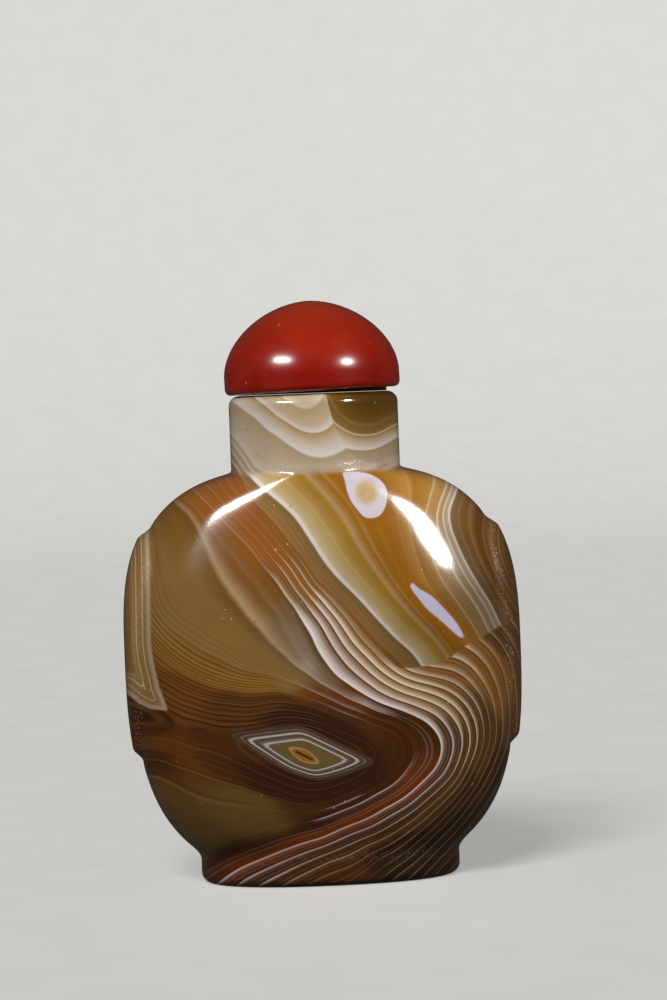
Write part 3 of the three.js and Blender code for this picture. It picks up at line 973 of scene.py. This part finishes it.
def sweepStone(tree, level):
    # the ground with its fine stripes and hair lines, then the light lines
    s, edges = agateFinish, stoneEdges
    fade = attribute(tree, "lineFade")
    line = useGroup(tree, agateLine, {"Level": level, "Rise": s["lineRise"], "Fade": fade, "Seed": 3.0})
    bare = product(tree, rangeOf(tree, level, *edges["bareFrom"]), rangeOf(tree, level, *edges["bareTo"]))
    bare = product(tree, bare, attribute(tree, "bareStone"))
    strength = product(tree, attribute(tree, "lineStrength"), calc(tree, "SUBTRACT", 1.0, bare))
    varied = product(tree, strength, rangeOf(tree, line["Chance"], 0.0, 1.0, 0.75, 1.0, "LINEAR"))
    ground = attribute(tree, "groundTone", "Color")
    shadow = product(tree, line["Notch"], varied, s["lineShadow"])
    ground = mixTones(tree, shadow, ground, seen(30, 16, 8))

    fineLevel = attribute(tree, "fineLevel")
    fine = useGroup(tree, agateLine, {"Level": fineLevel, "Rise": 0.3, "Fade": 0.6, "Seed": 9.0})
    low = rangeOf(tree, level, *edges["stripesLevel"])
    strong = attribute(tree, "fineStrength")
    chance = rangeOf(tree, fine["Chance"], 0.0, 1.0, 0.5, 1.0, "LINEAR")
    dark = product(tree, fine["Notch"], low, strong, s["stripeDark"])
    ground = mixTones(tree, dark, ground, tinted(tree, ground, (0.3, 0.28, 0.3)))
    light = product(tree, fine["Line"], low, chance, strong, s["stripeLight"])
    ground = mixTones(tree, light, ground, tinted(tree, ground, (1.9, 2.1, 3.0)))

    lineTone = attribute(tree, "lineTone", "Color")
    hairLevel = product(tree, level, 3.0)
    hair = useGroup(tree, agateLine, {"Level": hairLevel, "Rise": 0.25, "Fade": 0.5, "Seed": 5.0})
    ground = mixTones(tree, product(tree, hair["Line"], hair["Chance"], s["hairShare"]), ground, lineTone)
    return mixTones(tree, product(tree, line["Line"], varied), ground, lineTone)


def shoulderStone(tree, wander):
    high = total(tree, attribute(tree, "shoulderLevel"), product(tree, wander, 0.5))
    stone = toneRamp(tree, high, shoulderRamp)
    right = rangeOf(tree, high, *stoneEdges["rightLevel"])
    stone = mixTones(tree, right, stone, toneRamp(tree, high, rightRamp))
    thinLevel = product(tree, high, 4.3)
    thin = useGroup(tree, agateLine, {"Level": thinLevel, "Rise": 0.4, "Fade": 0.6, "Seed": 7.0})
    chance = calc(tree, "POWER", thin["Chance"], 2.5)
    share = product(tree, thin["Line"], chance, agateFinish["thinShare"])
    stone = mixTones(tree, share, stone, seen(206, 176, 128))
    # the shoulder's tone is multiplied by its brightness, which paints light near the neck and shade low on
    # the right
    shade = attribute(tree, "shoulderToneAndPaintedLight")
    grey = addNode(tree, "ShaderNodeCombineColor", {0: shade, 1: shade, 2: shade}).outputs[0]
    return mixTones(tree, 1.0, stone, grey, "MULTIPLY")


def addEye(tree, stone, wander, front):
    # nested lozenges round a small oval core with a dark slit
    gauge = total(tree, attribute(tree, "eyeGauge"), product(tree, wander, 0.15))
    eye = toneRamp(tree, gauge, eyeRamp)
    across = calc(tree, "ABSOLUTE", attribute(tree, "slitAcross"))
    along = calc(tree, "ABSOLUTE", attribute(tree, "slitAlong"))
    wide = calc(tree, "POWER", product(tree, across, 2.7), 1.6)
    coreSize = calc(tree, "POWER", total(tree, wide, calc(tree, "POWER", along, 1.6)), 0.625)
    eye = mixTones(tree, rangeOf(tree, coreSize, 18.0, 15.5), eye, seen(160, 122, 74))
    eye = mixTones(tree, rangeOf(tree, coreSize, 15.5, 12.0), eye, seen(134, 92, 40))
    slit = product(tree, rangeOf(tree, across, 2.1, 0.7), rangeOf(tree, along, 12.0, 8.0))
    eye = mixTones(tree, product(tree, slit, 0.9), eye, seen(76, 26, 6))
    return mixTones(tree, product(tree, rangeOf(tree, gauge, 1.45, 1.2), front), stone, eye)


def addPaleSpots(tree, stone, front):
    # the drop with its honey heart, and the long lens, each in a richer patch of stone
    drop = attribute(tree, "dropDistance")
    halo = product(tree, rangeOf(tree, drop, 13.0, 0.5), front, 0.6)
    stone = mixTones(tree, halo, stone, seen(142, 88, 14))
    inner = rangeOf(tree, attribute(tree, "dropHeart"), 1.2, 0.5)
    heart = mixTones(tree, inner, seen(200, 190, 196), seen(186, 158, 110))
    stone = mixTones(tree, product(tree, rangeOf(tree, drop, 0.9, -0.9), front), stone, heart)
    lens = attribute(tree, "lensDistance")
    glow = product(tree, rangeOf(tree, lens, 10.0, 0.5), front, 0.6)
    stone = mixTones(tree, glow, stone, seen(134, 80, 10))
    return mixTones(tree, product(tree, rangeOf(tree, lens, 0.8, -1.2), front), stone, seen(178, 168, 188))


def addNeck(tree, stone, wander):
    # two nests of bands that meet in a seam, where the higher of the two shows
    left, right = attribute(tree, "neckLeft"), attribute(tree, "neckRight")
    leftTone = toneRamp(tree, total(tree, left, wander), neckRampLeft)
    rightTone = toneRamp(tree, total(tree, right, wander), neckRampRight)
    larger = rangeOf(tree, calc(tree, "SUBTRACT", right, left), -0.03, 0.03)
    neck = mixTones(tree, larger, leftTone, rightTone)
    return mixTones(tree, attribute(tree, "neckArea"), stone, neck)


def makeAgate():
    s = agateFinish
    material, tree, place = startMaterial("agateFinish")
    wander = noise(tree, place, 700.0, 2.0)
    wander = product(tree, calc(tree, "SUBTRACT", wander, 0.5), s["wander"])
    level = total(tree, attribute(tree, "sweepLevel"), wander)
    aboveFault = rangeOf(tree, attribute(tree, "aboveFault"), -1.2, 1.2)
    area = product(tree, rangeOf(tree, level, *stoneEdges["shoulderLevel"]), aboveFault)
    stone = mixTones(tree, area, sweepStone(tree, level), shoulderStone(tree, wander))
    nest = attribute(tree, "panelNest")
    onPanel = product(tree, rangeOf(tree, nest, -1.2, 1.2), 0.92)
    stone = mixTones(tree, onPanel, stone, toneRamp(tree, nest, nestRamp))
    front = attribute(tree, "frontSide")
    stone = addEye(tree, stone, wander, front)
    stone = addPaleSpots(tree, stone, front)
    stone = addNeck(tree, stone, wander)

    # clouds in the stone, the creases' rough grain with painted glints on it, and what lies on the polish
    cloud = noise(tree, place, 190.0, 4.0)
    cloudy = rangeOf(tree, cloud, 0.35, 0.7, 0.0, 0.16)
    stone = mixTones(tree, cloudy, stone, tinted(tree, stone, (1.5, 1.45, 1.5)))
    wear = useGroup(tree, polishWear, {"Place": place})
    grit = noise(tree, place, 4200.0, 2.0)
    crease = attribute(tree, "creaseGrainAndGlint")
    # pale specks in the creases and beside the panels: painted glints on the unpolished grain
    grainAndPaintedGlint = product(tree, rangeOf(tree, grit, 0.54, 0.64), crease, s["grainAndPaintedGlint"])
    stone = mixTones(tree, grainAndPaintedGlint, stone, seen(196, 178, 156))
    stone = mixTones(tree, product(tree, wear["Dust"], s["dust"]), stone, seen(206, 184, 150))
    stone = mixTones(tree, product(tree, wear["Pits"], s["pits"]), stone, seen(60, 36, 14))

    roughness = total(tree, s["roughness"], product(tree, crease, s["creaseRoughness"]))
    roughness = total(tree, roughness, product(tree, wear["Dust"], 0.3))
    height = calc(tree, "SUBTRACT", wear["Wave"], product(tree, wear["Pits"], 0.5))
    gritHeight = total(tree, product(tree, crease, s["creaseBump"]), 0.1)
    height = total(tree, height, product(tree, grit, gritHeight))
    surface(tree, height, s["waviness"], {
        "Base Color": stone, "Roughness": roughness, "IOR": s["ior"],
        "Coat Weight": s["coat"], "Coat Roughness": s["coatRoughness"],
    })
    return material


bottleMesh, bottleSpots, panelEdge, bodyPart, bottleKind = shapeBottle()
markBottle(bottleMesh, bottleSpots, panelEdge, bodyPart, bottleKind)
addPiece("agate_bottle", bottleMesh, "bottle", makeAgate())
print("bottle made with", len(bottleMesh.vertices), "vertices")


# Stopper: a red dome that leans a little, with a level seat on the lip, and the cork under it

domeShape = {
    "radius": 9.95,
    "height": 10.25,
    "edgeRound": 0.7,
    "widestHeight": 2.0,
    "exponent": 1.83,
    "tilt": 1.2,
    "lift": 0.04,
    "seatRise": 0.03,
    "sides": 192,
}
corkShape = {
    "top": 3.38,
    "tip": 3.23,
    "length": 6.2,
    "chamfer": 0.3,
    "start": 0.05,
    "sides": 96,
}
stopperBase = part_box("bottle")[1].z / mm + domeShape["lift"]


def spinPiece(name, profile, sides, lean=None):
    shell = spinProfile(profile, sides)
    if lean:
        # the piece leans, and is cut level below
        bmesh.ops.transform(shell, matrix=lean, verts=shell.verts)
        cut = bmesh.ops.bisect_plane(shell, geom=shell.verts[:] + shell.edges[:] + shell.faces[:], dist=1e-5,
                                     plane_co=(0, 0, 0), plane_no=(0, 0, -1), clear_outer=True)
        rim = [e for e in cut["geom_cut"] if isinstance(e, bmesh.types.BMEdge)]
        bmesh.ops.edgeloop_fill(shell, edges=rim)
    bmesh.ops.recalc_face_normals(shell, faces=shell.faces)
    place = Matrix.Scale(mm, 4) @ Matrix.Translation((0, 0, stopperBase))
    bmesh.ops.transform(shell, matrix=place, verts=shell.verts)
    return meshFrom(name, shell)


def makeRedStone():
    material, tree, place = startMaterial("redStoneFinish")
    height = addNode(tree, "ShaderNodeSeparateXYZ", {"Vector": place}).outputs["Z"]
    # the red is darker just above the rim and lighter towards the top
    stone = toneRamp(tree, height, [
        (0.0552, (150, 34, 12)), (0.0556, (124, 14, 4)), (0.0570, (132, 16, 6)), (0.0600, (140, 24, 8)),
        (0.0635, (140, 31, 9)), (0.0658, (142, 36, 9))])
    cloud = noise(tree, place, 240.0, 5.0)
    stone = mixTones(tree, rangeOf(tree, cloud, 0.35, 0.75, 0.0, 0.25), stone, seen(168, 52, 18))
    wear = useGroup(tree, polishWear, {
        "Place": place, "Pit Scale": 700.0, "Pit Share": 0.1, "Dust Scale": 520.0, "Dust Share": 0.35,
    })
    stone = mixTones(tree, product(tree, wear["Pits"], 0.5), stone, seen(96, 16, 8))
    stone = mixTones(tree, product(tree, wear["Dust"], 0.4), stone, seen(206, 120, 96))
    roughness = total(tree, 0.22, product(tree, wear["Dust"], 0.3))
    height = calc(tree, "SUBTRACT", wear["Wave"], product(tree, wear["Pits"], 0.6))
    surface(tree, height, 0.00002, {
        "Base Color": stone, "Roughness": roughness, "IOR": 1.54, "Coat Weight": 0.5, "Coat Roughness": 0.05,
    })
    return material


def makeCork():
    material, tree, place = startMaterial("corkFinish")
    cells = addNode(tree, "ShaderNodeTexVoronoi", {"Vector": place, "Scale": 900.0})
    tint = addNode(tree, "ShaderNodeSeparateColor", {"Color": cells.outputs["Color"]}).outputs[0]
    tone = mixTones(tree, tint, seen(196, 146, 96), seen(168, 116, 70))
    pores = noise(tree, place, 1500.0, 4.0)
    dark = rangeOf(tree, pores, 0.58, 0.68)
    tone = mixTones(tree, product(tree, dark, 0.8), tone, seen(96, 60, 34))
    raised = calc(tree, "SUBTRACT", 1.0, dark)
    surface(tree, raised, 0.0001, {"Base Color": tone, "Roughness": 0.85})
    return material


def domeProfile():
    s = domeShape
    inner = s["radius"] - s["edgeRound"]
    seat = bottleShape["neckRadius"] - bottleShape["lipRound"]
    profile = [(0.0, -1.0), (seat, -1.0), (seat, 0.0), (inner, 0.0)]
    for turn in np.linspace(0, math.pi / 2, 9)[1:]:
        profile.append((inner + s["edgeRound"] * math.sin(turn), s["edgeRound"] * (1 - math.cos(turn))))
    profile += [(s["radius"], height) for height in np.linspace(s["edgeRound"], s["widestHeight"], 6)[1:]]
    for turn in np.linspace(0, math.pi / 2, 72)[1:]:
        cos, sin = math.cos(turn), math.sin(turn)
        share = (abs(cos) ** s["exponent"] + sin ** s["exponent"]) ** (-1 / s["exponent"])
        rise = (s["height"] - s["widestHeight"]) * sin * share
        profile.append((s["radius"] * cos * share, s["widestHeight"] + rise))
    profile[-1] = (0.0, s["height"])
    return profile


def corkProfile():
    s = corkShape
    profile = [(radius, -s["start"]) for radius in np.linspace(0, s["top"], 6)]
    for height in np.linspace(-s["start"], s["chamfer"] - s["length"], 26)[1:]:
        share = (-height - s["start"]) / (s["length"] - s["start"])
        profile.append((s["top"] + (s["tip"] - s["top"]) * share, height))
    profile.append((s["tip"] - s["chamfer"], -s["length"]))
    profile += [(radius, -s["length"]) for radius in np.linspace(s["tip"] - s["chamfer"], 0, 6)[1:]]
    return profile


def domeLean():
    s = domeShape
    rim = s["radius"] - s["edgeRound"]
    turn = Matrix.Rotation(-math.radians(s["tilt"]), 4, "Y")
    return Matrix.Translation((-rim, 0, s["seatRise"])) @ turn @ Matrix.Translation((rim, 0, 0))


domeMesh = spinPiece("red_dome", domeProfile(), domeShape["sides"], domeLean())
corkMesh = spinPiece("cork_plug", corkProfile(), corkShape["sides"])
addPiece("red_dome", domeMesh, "stopper_dome", makeRedStone())
addPiece("cork_plug", corkMesh, "stopper_cork", makeCork())
print("stopper made")


# Floor, backdrop and lights

stageSetup = {
    "tone": (224, 223, 220),
    "floorRadius": 0.75,
    "bend": 0.5,
    "wallHeight": 0.7,
    "sides": 96,
    "glow": 0.48,
    "world": (1.0, 0.98, 0.95),
    "worldStrength": 0.035,
    "sunFrom": (-0.3, -0.75, 0.72),
    "sunPower": 1.45,
    "sunSoftness": 24.0,
}
lightRig = [
    # name, direction from the object, distance, width, height, power, shape, whether it mirrors in the polish
    ("left box", (-0.58, -0.58, 0.56), 0.6, 0.20, 0.055, 0.46, "RECTANGLE", True),
    ("right lamp", (0.68, -0.60, 0.43), 0.6, 0.105, 0.07, 0.48, "ELLIPSE", True),
    ("back fill", (-0.15, 0.92, 0.36), 0.7, 0.8, 0.6, 0.5, "RECTANGLE", False),
]


def makeStage():
    s = stageSetup
    profile = [(0, 0), (s["floorRadius"], 0)]
    for turn in np.linspace(0, math.pi / 2, 13)[1:]:
        profile.append((s["floorRadius"] + s["bend"] * math.sin(turn), s["bend"] * (1 - math.cos(turn))))
    profile.append((s["floorRadius"] + s["bend"], s["wallHeight"]))
    mesh = meshFrom("floor", spinProfile(profile, s["sides"], 1e-5))
    for face in mesh.polygons:
        face.use_smooth = True
    material = bpy.data.materials.new("floorFinish")
    material.use_nodes = True
    tree = material.node_tree
    shader = tree.nodes["Principled BSDF"]
    place = addNode(tree, "ShaderNodeTexCoord").outputs["Object"]
    mottle = noise(tree, place, 90.0, 4.0)
    darker = seen(*(value - 3 for value in s["tone"]))
    tone = mixTones(tree, rangeOf(tree, mottle, 0.3, 0.7), seen(*s["tone"]), darker)
    tree.links.new(tone, shader.inputs["Base Color"])
    tree.links.new(tone, shader.inputs["Emission Color"])
    shader.inputs["Emission Strength"].default_value = s["glow"]
    shader.inputs["Roughness"].default_value = 0.7
    mesh.materials.append(material)
    floor = bpy.data.objects.new("floor", mesh)
    scene.collection.objects.link(floor)
    # the stone keeps its dark reflections on a pale floor
    floor.visible_diffuse = False
    floor.visible_glossy = False
    return floor


def ringLamp(data):
    # the middle of the lamp is dimmer than its rim
    data.use_nodes = True
    tree = data.node_tree
    spot = addNode(tree, "ShaderNodeNewGeometry").outputs["Parametric"]
    away = addNode(tree, "ShaderNodeVectorMath", {0: spot, 1: (0.5, 0.5, 0.0)}, operation="DISTANCE")
    share = rangeOf(tree, away.outputs["Value"], 0.16, 0.3, 0.12, 1.0)
    tree.links.new(share, tree.nodes["Emission"].inputs["Strength"])


def makeLights(floor):
    s = stageSetup
    middle = Vector((0, 0, 0.035))
    stageOnly = bpy.data.collections.new("stage only")
    stageOnly.objects.link(floor)
    pieces = bpy.data.collections.new("pieces only")
    for piece in scene.objects:
        if piece.type == "MESH" and piece is not floor:
            pieces.objects.link(piece)
    for name, direction, distance, width, height, power, shape, shines in lightRig:
        data = bpy.data.lights.new(name, "AREA")
        data.shape = shape
        data.size, data.size_y = width, height
        data.energy = power
        data.spread = math.radians(70)
        if shape == "ELLIPSE":
            ringLamp(data)
        light = bpy.data.objects.new(name, data)
        away = Vector(direction).normalized()
        turn = away.to_track_quat("Z", "Y").to_matrix().to_4x4()
        light.matrix_world = Matrix.Translation(middle + away * distance) @ turn
        light.light_linking.receiver_collection = pieces
        light.visible_camera = False
        light.visible_glossy = shines
        scene.collection.objects.link(light)
    # a soft, even light for the floor and backdrop alone
    data = bpy.data.lights.new("room light", "SUN")
    data.energy, data.angle = s["sunPower"], math.radians(s["sunSoftness"])
    sun = bpy.data.objects.new("room light", data)
    sun.matrix_world = Vector(s["sunFrom"]).to_track_quat("Z", "Y").to_matrix().to_4x4()
    sun.light_linking.receiver_collection = stageOnly
    scene.collection.objects.link(sun)
    world = bpy.data.worlds.new("studio")
    world.use_nodes = True
    back = world.node_tree.nodes["Background"]
    back.inputs["Color"].default_value = (*s["world"], 1.0)
    back.inputs["Strength"].default_value = s["worldStrength"]
    scene.world = world
    scene.view_settings.view_transform = "Standard"


makeLights(makeStage())
print("stage and lights set")
